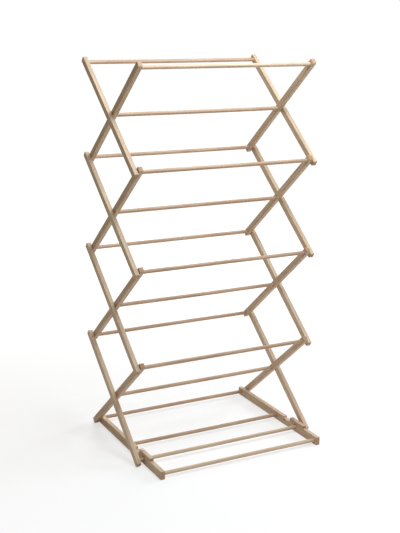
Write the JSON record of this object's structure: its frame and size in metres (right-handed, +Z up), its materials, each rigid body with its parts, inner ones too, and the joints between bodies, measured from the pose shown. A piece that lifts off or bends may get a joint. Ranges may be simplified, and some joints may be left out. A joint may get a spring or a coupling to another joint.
{
  "type": "clothes drying rack",
  "caption": "Folding wooden clothes drying rack: crossed pairs of square bars pinned by round rungs, standing on two floor rails with latches.",
  "frame": {"origin": "on the floor, under the middle of the bounding box", "axes": "+Z up, +X to the rack's right, -Y to its front, where the rails reach out past the feet"},
  "size_m": [0.726, 0.5879, 1.4195],
  "materials": {
    "beech_bar": "planed beech, unvarnished",
    "beech_rung": "turned beech, unvarnished",
    "beech_rail": "planed beech, unvarnished",
    "zinc_steel": "bright zinc plate"
  },
  "bodies": {
    "base": {"rail_left": "beech_rail", "rail_right": "beech_rail", "rung_rail_middle": "beech_rung", "rung_rail_front": "beech_rung", "rung_foot_seated": "beech_rung", "latch_screw_left": "zinc_steel", "latch_screw_right": "zinc_steel"},
    "inner_pair_4": {"inner_bar_4_left": "beech_bar", "inner_bar_4_right": "beech_bar", "rung_rail_back": "beech_rung"},
    "outer_pair_4": {"outer_bar_4_left": "beech_bar", "outer_bar_4_right": "beech_bar", "rung_crossing_4": "beech_rung", "rung_back_knee_3": "beech_rung", "rung_foot_end_left": "beech_rung", "rung_foot_end_right": "beech_rung"},
    "inner_pair_3": {"inner_bar_3_left": "beech_bar", "inner_bar_3_right": "beech_bar"},
    "outer_pair_3": {"outer_bar_3_left": "beech_bar", "outer_bar_3_right": "beech_bar", "rung_crossing_3": "beech_rung", "rung_front_knee_3": "beech_rung", "rung_back_knee_2": "beech_rung"},
    "inner_pair_2": {"inner_bar_2_left": "beech_bar", "inner_bar_2_right": "beech_bar"},
    "outer_pair_2": {"outer_bar_2_left": "beech_bar", "outer_bar_2_right": "beech_bar", "rung_crossing_2": "beech_rung", "rung_front_knee_2": "beech_rung", "rung_back_knee_1": "beech_rung"},
    "inner_pair_1": {"inner_bar_1_left": "beech_bar", "inner_bar_1_right": "beech_bar", "rung_top_front": "beech_rung"},
    "outer_pair_1": {"outer_bar_1_left": "beech_bar", "outer_bar_1_right": "beech_bar", "rung_crossing_1": "beech_rung", "rung_front_knee_1": "beech_rung", "rung_top_back": "beech_rung"},
    "latch_left": {"latch_left": "beech_rail"},
    "latch_right": {"latch_right": "beech_rail"}
  },
  "joints": [
    {"name": "fold", "type": "hinge", "parent": "base", "child": "inner_pair_4", "pos_m": [0, 0.27328, 0.02002], "axis": [1, 0, 0], "range_deg": [0, 33]},
    {"name": "crossing_4", "type": "hinge", "parent": "inner_pair_4", "child": "outer_pair_4", "pos_m": [0, 0.06168, 0.19252], "axis": [1, 0, 0], "range_deg": [-66, 0]},
    {"name": "back_knee_3", "type": "hinge", "parent": "outer_pair_4", "child": "inner_pair_3", "pos_m": [0, 0.27328, 0.36502], "axis": [1, 0, 0], "range_deg": [0, 66]},
    {"name": "crossing_3", "type": "hinge", "parent": "inner_pair_3", "child": "outer_pair_3", "pos_m": [0, 0.06168, 0.53752], "axis": [1, 0, 0], "range_deg": [-66, 0]},
    {"name": "back_knee_2", "type": "hinge", "parent": "outer_pair_3", "child": "inner_pair_2", "pos_m": [0, 0.27328, 0.71002], "axis": [1, 0, 0], "range_deg": [0, 66]},
    {"name": "crossing_2", "type": "hinge", "parent": "inner_pair_2", "child": "outer_pair_2", "pos_m": [0, 0.06168, 0.88252], "axis": [1, 0, 0], "range_deg": [-66, 0]},
    {"name": "back_knee_1", "type": "hinge", "parent": "outer_pair_2", "child": "inner_pair_1", "pos_m": [0, 0.27328, 1.05502], "axis": [1, 0, 0], "range_deg": [0, 66]},
    {"name": "crossing_1", "type": "hinge", "parent": "inner_pair_1", "child": "outer_pair_1", "pos_m": [0, 0.06168, 1.22752], "axis": [1, 0, 0], "range_deg": [-66, 0]},
    {"name": "latch_left_turn", "type": "hinge", "parent": "base", "child": "latch_left", "pos_m": [-0.321, -0.12802, 0.03245], "axis": [0, -0.0089, 1], "range_deg": [0, 90]},
    {"name": "latch_right_turn", "type": "hinge", "parent": "base", "child": "latch_right", "pos_m": [0.321, -0.12802, 0.03245], "axis": [0, 0.0089, -1], "range_deg": [0, 90]}
  ],
  "couplings": [
    {"joint": "crossing_4", "follows": "fold", "ratio": -2},
    {"joint": "back_knee_3", "follows": "fold", "ratio": 2},
    {"joint": "crossing_3", "follows": "fold", "ratio": -2},
    {"joint": "back_knee_2", "follows": "fold", "ratio": 2},
    {"joint": "crossing_2", "follows": "fold", "ratio": -2},
    {"joint": "back_knee_1", "follows": "fold", "ratio": 2},
    {"joint": "crossing_1", "follows": "fold", "ratio": -2}
  ]
}
